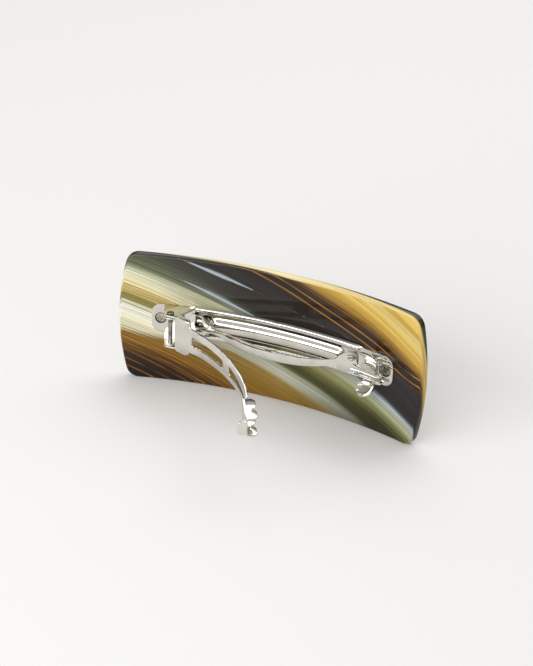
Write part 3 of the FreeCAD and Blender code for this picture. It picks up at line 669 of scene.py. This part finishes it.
# ---- closing arm ----
ARM_OPEN = math.radians(41.2)
ARM_SHEET = 0.55
ARM_START, ARM_DROP = 2.7, 0.5
ARM_A0, ARM_A1 = math.radians(-24.2), math.radians(18.8)
ARM_REACH = 63.3
TIP_LENGTH = 13.0
ARM_RADIUS = ((ARM_REACH - ARM_START - TIP_LENGTH * math.cos(ARM_A1))
              / (math.sin(ARM_A1) - math.sin(ARM_A0)))
WEB_LENGTH = ARM_RADIUS * (ARM_A1 - ARM_A0)
ROOT_HALF, ROOT_LENGTH = 5.7, 5.6
SHOULDER_HALF, NECK_HALF, END_HALF = 3.82, 3.4, 2.8
WINDOW_START, WINDOW_LENGTH, WINDOW_BRIDGE, WINDOW_END = 7.2, 17.2, 3.2, 4.2
TIP_HALF, TIP_DEPTH, TIP_JOGGLE = 2.9, 3.5, 1.1
CHEEK_MIDDLE = 5.125
PIN_GAP = 0.04
ARM_CUP = 0.28                      # how far the web's edges fall below its middle
TIP_EDGE = 0.14


def arm_point(x, out, z):
    """Point on the arm: along its chord from the pin, outwards from the plate, up."""
    pin = clip_point(PIN_AT, PIN_HEIGHT, 0)
    c, s = math.cos(ARM_OPEN), math.sin(ARM_OPEN)
    return pin + Vector((x * c - out * s, -x * s - out * c, z)) * MM


def web_point(u, y, lift=0.0):
    """Point on the arm's bent web: distance along it, across it, and out of its face."""
    a = ARM_A0 + min(u, WEB_LENGTH) / ARM_RADIUS
    cx = ARM_START - ARM_RADIUS * math.sin(ARM_A0)
    cy = -ARM_DROP + ARM_RADIUS * math.cos(ARM_A0)
    past = max(u - WEB_LENGTH, 0.0)
    x = cx + ARM_RADIUS * math.sin(a) + past * math.cos(a) - lift * math.sin(a)
    out = cy - ARM_RADIUS * math.cos(a) + past * math.sin(a) + lift * math.cos(a)
    return arm_point(x, out, y)


def web_lift(u, y):
    """How far the web's middle sheet stands out of its bend: its cupped length, its raised tip."""
    cup = ARM_CUP * smooth(ROOT_LENGTH, ROOT_LENGTH + 8, u) * smooth(-WEB_LENGTH, 4 - WEB_LENGTH, -u)
    joggle = TIP_JOGGLE * smooth(WEB_LENGTH - 0.2, WEB_LENGTH + 1.6, u)
    return joggle - cup * (y / NECK_HALF) ** 2


def window(u0, u1, w0, w1):
    """Round-ended opening that narrows along the arm."""
    r0, r1 = w0 / 2, w1 / 2
    squat = 0.6 * r0
    return (ring(u1 - r1, 0, r1, r1, 11, -math.pi / 2, math.pi / 2)
            + ring(u0 + squat, 0, squat, r0, 13, math.pi / 2, 1.5 * math.pi))


def arm_web():
    """The arm's top sheet, from its broad root past both windows to the tip."""
    end = WEB_LENGTH + TIP_LENGTH - 0.3
    taper_from, taper_to = ROOT_LENGTH + 3.4, WEB_LENGTH - 1.5
    half = [(0, 0.0), (0, ROOT_HALF - 1.0), (0.3, ROOT_HALF - 0.3), (1.0, ROOT_HALF),
            (ROOT_LENGTH - 1.2, ROOT_HALF), (ROOT_LENGTH - 0.5, ROOT_HALF - 0.3),
            (ROOT_LENGTH - 0.1, ROOT_HALF - 0.8), (ROOT_LENGTH + 0.6, NECK_HALF + 0.8),
            (ROOT_LENGTH + 1.6, NECK_HALF + 0.6), (taper_from, SHOULDER_HALF)]
    for u in steps(10, taper_to, 3):
        share = (u - taper_from) / (taper_to - taper_from)
        half.append((u, SHOULDER_HALF + (END_HALF - SHOULDER_HALF) * share))
    half += [(WEB_LENGTH, END_HALF), (WEB_LENGTH + 1.3, TIP_HALF), (end - 0.5, TIP_HALF),
             (end, TIP_HALF - 0.5), (end, 0.0)]
    first_end = WINDOW_START + WINDOW_LENGTH
    loops = [mirrored(half), window(WINDOW_START, first_end, 3.2, 2.6),
             window(first_end + WINDOW_BRIDGE, WEB_LENGTH - WINDOW_END, 3.0, 0.9)]
    across = [0.0] + [side * y for y in (0.7, 1.4, 2.1, 2.6, 3.1) for side in (-1, 1)]
    along = steps(0, WEB_LENGTH, 1.0) + steps(WEB_LENGTH - 0.2, WEB_LENGTH + 1.6, 0.3)
    return stamping(loops, (along, across), lambda u, y: web_point(u, y, web_lift(u, y)), ARM_SHEET)


def arm_cheek(side):
    """A cheek from the root down over the pin."""
    toe_x = ARM_START + ROOT_LENGTH * math.cos(ARM_A0)
    toe_out = -ARM_DROP + ROOT_LENGTH * math.sin(ARM_A0)
    cheek = ring(0, 0, EAR_CROWN, EAR_CROWN, 15, math.radians(80), math.radians(265))
    cheek += [(toe_x - 1.6, toe_out - 1.1), (toe_x - 0.6, toe_out - 0.7), (toe_x, toe_out),
              (ARM_START, -ARM_DROP + 0.2), (1.6, 0.9)]
    hole = ring(0, 0, PIN_RADIUS + PIN_GAP, PIN_RADIUS + PIN_GAP, 20)
    return stamping([cheek, hole], FLAT, lambda x, out: arm_point(x, out, side * CHEEK_MIDDLE), ARM_SHEET)


def tip_cheek(side):
    """One side of the tip's channel, with a shallow notch between its two lobes."""
    top = TIP_JOGGLE
    low = TIP_JOGGLE + ARM_SHEET / 2 - TIP_DEPTH
    lobes = [(1.2, top), (1.2, low + 1.4), (1.7, low + 0.5), (2.6, low), (5.6, low), (6.4, low + 0.4),
             (6.9, low + 1.2), (7.5, low + 1.2), (8.0, low + 0.4), (8.8, low), (11.4, low),
             (12.3, low + 0.5), (12.7, low + 1.4), (12.7, top)]
    z = side * (TIP_HALF - ARM_SHEET / 2)
    return stamping([lobes], FLAT, lambda x, out: web_point(WEB_LENGTH + x, z, out), ARM_SHEET, TIP_EDGE)


def tip_lip():
    """The turned-out lip at the arm's end, curled back a little."""
    top = TIP_JOGGLE
    outline = [(-2.2, top - 0.1), (2.2, top - 0.1), (2.2, top + 1.7), (1.9, top + 2.2), (1.4, top + 2.45),
               (-1.4, top + 2.45), (-1.9, top + 2.2), (-2.2, top + 1.7)]
    end = WEB_LENGTH + TIP_LENGTH - ARM_SHEET / 2

    def curled(y, out):
        return web_point(end - 0.25 * (1 - ((out - top) / 1.2 - 1) ** 2), y, out)
    return stamping([outline], ([], steps(top, top + 2.4, 0.4)), curled, ARM_SHEET, TIP_EDGE)


def make_arm():
    parts = [arm_web()]
    parts += [arm_cheek(side) for side in (-1, 1)]
    parts += [tip_cheek(side) for side in (-1, 1)]
    parts.append(tip_lip())
    return assemble("arm_stamping", parts, strip_nickel, "arm", "plated_steel", "closing_arm")


# ---- tension bow ----
BOW_SHEET = 0.45
BOW_START, BOW_END = -27.6, 27.8
BOW_LINE = [(0, 1.275), (0.17, 4.9), (0.354, 9.8), (0.552, 11.8), (0.733, 10.9), (0.841, 8.2),
            (0.913, 4.9), (1, 1.275)]
BOW_HOLLOW = 0.06                   # fall of its edges, by the square of the distance across
BOW_HOLE = (3.2, 1.8, 1.45)         # place along it, half length and half width


def bow_height(share):
    """Height of the bow over the acetate: a cubic through the arch's points."""
    points = BOW_LINE
    i = 0
    while i < len(points) - 2 and share > points[i + 1][0]:
        i += 1

    def slope(k):
        a, b = points[max(k - 1, 0)], points[min(k + 1, len(points) - 1)]
        return (b[1] - a[1]) / (b[0] - a[0])
    (x0, y0), (x1, y1) = points[i], points[i + 1]
    gap = x1 - x0
    t = (share - x0) / gap
    return ((2 * t ** 3 - 3 * t ** 2 + 1) * y0 + (t ** 3 - 2 * t ** 2 + t) * gap * slope(i)
            + (-2 * t ** 3 + 3 * t ** 2) * y1 + (t ** 3 - t ** 2) * gap * slope(i + 1))


def make_bow():
    """A narrow strip with a broad root, which has a hole, and a broad round head."""
    length = BOW_END - BOW_START
    half = [(0, 0.0), (0.02, 2.2), (0.4, 2.9), (1.1, 3.2), (4.2, 3.1), (5.2, 2.6), (5.9, 1.7),
            (6.6, 1.15), (8, 0.95), (14, 1.15), (22, 1.5), (30, 1.65), (38, 1.5), (44, 1.2),
            (48.5, 1.0), (50, 1.1), (50.6, 1.6), (51.1, 2.4), (52.0, 3.0), (53.2, 3.1), (54.4, 2.8),
            (55.1, 2.2), (55.4, 1.4), (55.4, 0.0)]
    place, half_long, half_wide = BOW_HOLE
    loops = [mirrored(half), ring(place, 0, half_long, half_wide, 22)]
    cuts = (steps(0, length, 0.5), [0.0, 1.0, -1.0, 0.5, -0.5])

    def arched(x, y):
        # the strip is very slightly hollow, so its edges catch the light
        hollow = BOW_HOLLOW * y * y * smooth(6, 14, x) * smooth(-50, -42, -x)
        return clip_point(BOW_START + x, bow_height(x / length) - hollow, y)
    strip = stamping(loops, cuts, arched, BOW_SHEET)
    bow = assemble("bow_strip", [strip], spring_nickel, "plate", "spring_steel", "tension_bow")
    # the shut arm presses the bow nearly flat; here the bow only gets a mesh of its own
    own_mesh(bow)


# ---- catch ----
CATCH_SHEET = 0.45
CATCH_HEIGHT = 5.9
MOUTH_AT, FLARE_END, BARREL_END = 29.4, 33.0, 39.4
BARREL_MIDDLE, MOUTH_MIDDLE = 1.075, 1.525
BARREL_NIP = 0.35                   # how far the barrel closes in at its end
SPLIT_HALF = 0.62                   # from the middle plane to each half barrel's edge
LEAF_START, LEAF_TOP_END, LEAF_FOOT_END = 31.3, 36.8, 35.0
LEAF_TOP_DROP = 0.5                 # leaf's top below the barrel's axis
FOOT_OUT, FOOT_HEIGHT, FOOT_HALF = 3.2, 2.0, 2.9
EAR_EDGE, EAR_TOP = 7.0, 7.2
FINGER_AT, FINGER_RADIUS = 33.3, 2.75
FOLD_ROUND, FOLD_LENGTH = 0.35, 0.55
DISH = 0.55                         # how far the finger ear's rim stands over its middle


def leaf_frame(s, h, z):
    """The catch is drawn on the flat at its middle, as its strip is bent there."""
    middle = (LEAF_START + LEAF_TOP_END) / 2
    turn = middle / PLATE_RADIUS
    spot = clip_point(middle, 0, 0)
    x, out = s - middle, h
    return spot + Vector((x * math.cos(turn) - out * math.sin(turn),
                          -x * math.sin(turn) - out * math.cos(turn), z)) * MM


def half_barrel(side):
    """Half of the round barrel, flared at its mouth and nipped in at its end."""
    def barrel(s, share):
        # the share runs round the barrel from its split at the top to its split at the bottom
        flare = 1 - smooth(MOUTH_AT - 0.3, FLARE_END, s)
        nip = smooth(BARREL_END - 0.8, BARREL_END, s)
        r = BARREL_MIDDLE + (MOUTH_MIDDLE - BARREL_MIDDLE) * flare - BARREL_NIP * nip
        gap = math.asin(SPLIT_HALF / r)
        angle = math.pi / 2 - gap - share * (math.pi - 2 * gap)
        return leaf_frame(s, CATCH_HEIGHT + r * math.sin(angle), side * r * math.cos(angle))
    start = MOUTH_AT + 0.1
    blank = [(start, 0), (BARREL_END, 0), (BARREL_END, 1), (start, 1)]
    cuts = (steps(MOUTH_AT, BARREL_END, 0.5), steps(0, 1, 0.07))
    return stamping([blank], cuts, barrel, CATCH_SHEET)


def leg_and_ear(side):
    """The catch's leg down from the barrel, its fold, and the finger ear that comes back up."""
    leg_top = CATCH_HEIGHT - LEAF_TOP_DROP
    reach = math.hypot(EAR_EDGE - FOOT_OUT, EAR_TOP - FOOT_HEIGHT)
    drop = math.hypot(FOOT_OUT - BARREL_MIDDLE, leg_top - FOOT_HEIGHT)
    out_z, out_h = -(EAR_TOP - FOOT_HEIGHT) / reach, (EAR_EDGE - FOOT_OUT) / reach

    def folded(s, v):
        # v runs down the leg to the fold at 0 and up the finger ear beyond it
        if v < 0:
            share = -v / drop
            z = FOOT_OUT + (BARREL_MIDDLE - FOOT_OUT) * share
            h = FOOT_HEIGHT + (leg_top - FOOT_HEIGHT) * share
            lift = 0.0
        else:
            share = v / reach
            z = FOOT_OUT + (EAR_EDGE - FOOT_OUT) * share
            h = FOOT_HEIGHT + (EAR_TOP - FOOT_HEIGHT) * share
            # the ear is dished like a spoon
            away = math.hypot((s - FINGER_AT) / 2.8, (v - (reach - 2.7)) / 2.7)
            lift = (DISH * min(away, 1.0) ** 3 - 0.45) * smooth(0.4, 2.4, v)
        # and the fold itself is round
        soft = FOLD_ROUND * math.exp(-(v / FOLD_LENGTH) ** 2)
        return leaf_frame(s, h + soft + lift * out_h, side * (z + lift * out_z))
    finger_v = reach - 0.05 - FINGER_RADIUS
    ear = ring(FINGER_AT, finger_v, FINGER_RADIUS, FINGER_RADIUS, 21, math.radians(-38), math.radians(218))
    blank = [(LEAF_START + 0.1, -drop), (LEAF_TOP_END, -drop), (LEAF_FOOT_END, 0),
             (LEAF_FOOT_END - 0.2, 0.9)]
    blank += ear + [(LEAF_START + 0.3, 0.9), (LEAF_START + 0.1, 0)]
    along = steps(30, 37, 0.45)
    across = steps(-drop, -0.8, 0.8) + steps(-0.8, 0.8, 0.16) + steps(0.8, reach, 0.4)
    return stamping([blank], (along, across), folded, CATCH_SHEET)


def make_catch_side(side, name, body, cad_node):
    assemble(name, [half_barrel(side), leg_and_ear(side)], spring_nickel, body, "spring_steel", cad_node)


def make_catch_foot():
    blank = [(LEAF_START, -FOOT_HALF), (LEAF_FOOT_END, -FOOT_HALF), (LEAF_FOOT_END, FOOT_HALF),
             (LEAF_START, FOOT_HALF)]
    height = SHEET + CATCH_SHEET / 2
    foot = stamping([blank], (steps(LEAF_START, LEAF_FOOT_END, 1), []),
                    lambda s, z: clip_point(s, height, z), CATCH_SHEET, 0.08)
    assemble("catch_strip_foot", [foot], spring_nickel, "plate", "spring_steel", "catch_foot")


# ---- screws and pin ----
HEAD_RADIUS, HEAD_TOP, HEAD_DOME, HEAD_SHEET = 1.5, 0.42, 0.05, 0.25
CROSS_HALF, CROSS_REACH, CROSS_TURN = 0.24, 1.0, 20
SHANK = [(-1.2, 0.0), (-1.2, 0.7), (-0.1, 0.85), (0.0, 1.4), (0.1, 1.2), (0.08, 0.0)]
# a thin ring round each screw head, dark, as painted shade in its countersink
SINK = [(0.04, 1.3), (0.08, 1.3), (0.5, SCREW_HOLE + 0.04), (0.04, SCREW_HOLE + 0.04), (0.04, 1.3)]
PIN_HALF = 5.55
PIN_HEAD = [(0.0, 1.0), (0.1, 1.13), (0.25, 1.12), (0.38, 0.9), (0.45, 0.5), (0.45, 0.0)]


def out_of_plate(s):
    """The direction out of the hollow face at this place along it."""
    return (clip_point(s, 1, 0) - clip_point(s, 0, 0)).normalized()


def screw_head(s0):
    """A domed head with its cross recess cut right through its skin."""
    cross = []
    for quarter in range(4):
        a = math.radians(CROSS_TURN + 90 * quarter)
        for x, y in ((CROSS_REACH, -CROSS_HALF), (CROSS_REACH, CROSS_HALF), (CROSS_HALF, CROSS_HALF)):
            cross.append((x * math.cos(a) - y * math.sin(a), x * math.sin(a) + y * math.cos(a)))
    lines = steps(-HEAD_RADIUS, HEAD_RADIUS, 0.5)

    def domed(x, y):
        return clip_point(s0 + x, HEAD_TOP - HEAD_DOME * (x * x + y * y), y)
    return stamping([ring(0, 0, HEAD_RADIUS, HEAD_RADIUS, 28), cross], (lines, lines), domed,
                    HEAD_SHEET, 0.05, -1.0)


def make_screws():
    parts, shade_rings = [], []
    for s0 in (-SCREW_AT, SCREW_AT):
        axis = out_of_plate(s0)
        parts.append(screw_head(s0))
        parts.append(turned(SHANK, clip_point(s0, 0.05, 0), axis))
        # a dark ring of painted shade in each countersink, round the head
        shade_rings.append(turned(SINK, clip_point(s0, 0, 0), axis))
    assemble("countersunk_screws", parts, screw_nickel, "plate", "screw_steel", "clip_screws")
    assemble("countersink_painted_shade", shade_rings, countersink_shade_metal, "plate", "plated_steel")


def make_pin():
    """A plain pin with both its ends headed over."""
    dome = [(PIN_HALF, PIN_RADIUS)] + [(PIN_HALF + far, radius) for far, radius in PIN_HEAD]
    profile = [(-far, radius) for far, radius in reversed(dome)]
    profile += [(0.1 - PIN_HALF, PIN_RADIUS), (PIN_HALF - 0.1, PIN_RADIUS)] + dome
    pin = turned(profile, clip_point(PIN_AT, PIN_HEIGHT, 0), Vector((0, 0, 1)))
    assemble("riveted_pin", [pin], pin_steel, "plate", "pin_steel", "hinge_pin")


make_base()
make_arm()
make_catch_foot()
make_catch_side(1, "catch_side_upper", "leaf_upper", "catch_leaf_upper")
make_catch_side(-1, "catch_side_lower", "leaf_lower", "catch_leaf_lower")
make_screws()
make_pin()
make_bow()


# ---- floor, light and camera ----
# light from around, from straight down (0) to straight up (1): a dark line just above the
# horizon gives the polished metal its edges
AROUND = [(0.0, 0.7), (0.46, 0.5), (0.5, 0.08), (0.6, 0.08), (0.7, 0.7), (0.84, 0.95), (1.0, 1.0)]
CAMERA_AT = (0.20199, -0.46659, 0.28105)
CAMERA_RIGHT = (0.90789, 0.41814, 0.02991)
CAMERA_UP = (-0.21421, 0.40139, 0.89051)
CAMERA_BACK = (0.36035, -0.81489, 0.45399)
CAMERA_SENSOR, CAMERA_LENS = 36.0, 102.81027


def make_floor():
    """A sheet of matt white paper."""
    mesh = bmesh.new()
    bmesh.ops.create_grid(mesh, x_segments=2, y_segments=2, size=3.0)
    paper = new_material("matt_white_paper", Roughness=0.9, Specular_IOR_Level=0.1,
                         Base_Color=srgb("#e4e3e1"))[0]
    floor = finish_mesh(mesh, "floor", [paper])


def soft_light(name, place, aim, size, watts):
    data = bpy.data.lights.new(name, "AREA")
    data.shape = "RECTANGLE"
    data.size, data.size_y = size
    data.energy = watts
    light = bpy.data.objects.new(name, data)
    bpy.context.scene.collection.objects.link(light)
    light.location = place
    light.rotation_euler = (Vector(aim) - Vector(place)).to_track_quat("-Z", "Y").to_euler()


def make_world():
    world = bpy.data.worlds.new("studio")
    bpy.context.scene.world = world
    world.use_nodes = True
    tree = world.node_tree
    background = tree.nodes["Background"]
    direction = node(tree, "TexCoord", output="Generated")
    height = node(tree, "SeparateXYZ", {0: direction}, "Z")
    share = node(tree, "Math", {0: height, 1: 0.5, 2: 0.5}, operation="MULTIPLY_ADD")
    around = node(tree, "ValToRGB", {0: share})
    fill_ramp(around.node, AROUND, 0.0, 1.0)
    tree.links.new(around, background.inputs["Color"])
    background.inputs["Strength"].default_value = 0.7


def make_camera():
    data = bpy.data.cameras.new("camera")
    data.sensor_width = CAMERA_SENSOR
    data.lens = CAMERA_LENS
    data.clip_start = 0.05
    camera = bpy.data.objects.new("camera", data)
    bpy.context.scene.collection.objects.link(camera)
    turn = Matrix((CAMERA_RIGHT, CAMERA_UP, CAMERA_BACK)).transposed().to_4x4()
    camera.matrix_world = Matrix.Translation(CAMERA_AT) @ turn
    bpy.context.scene.camera = camera


make_floor()
make_world()
make_camera()
soft_light("key", (0.0, 0.5, 0.7), (0, 0, 0), (1.1, 0.7), 3.5)
soft_light("front_card", (-0.25, -0.8, 0.42), (0, 0, 0.02), (1.2, 0.5), 7.8)
bpy.context.scene.view_settings.view_transform = "Standard"
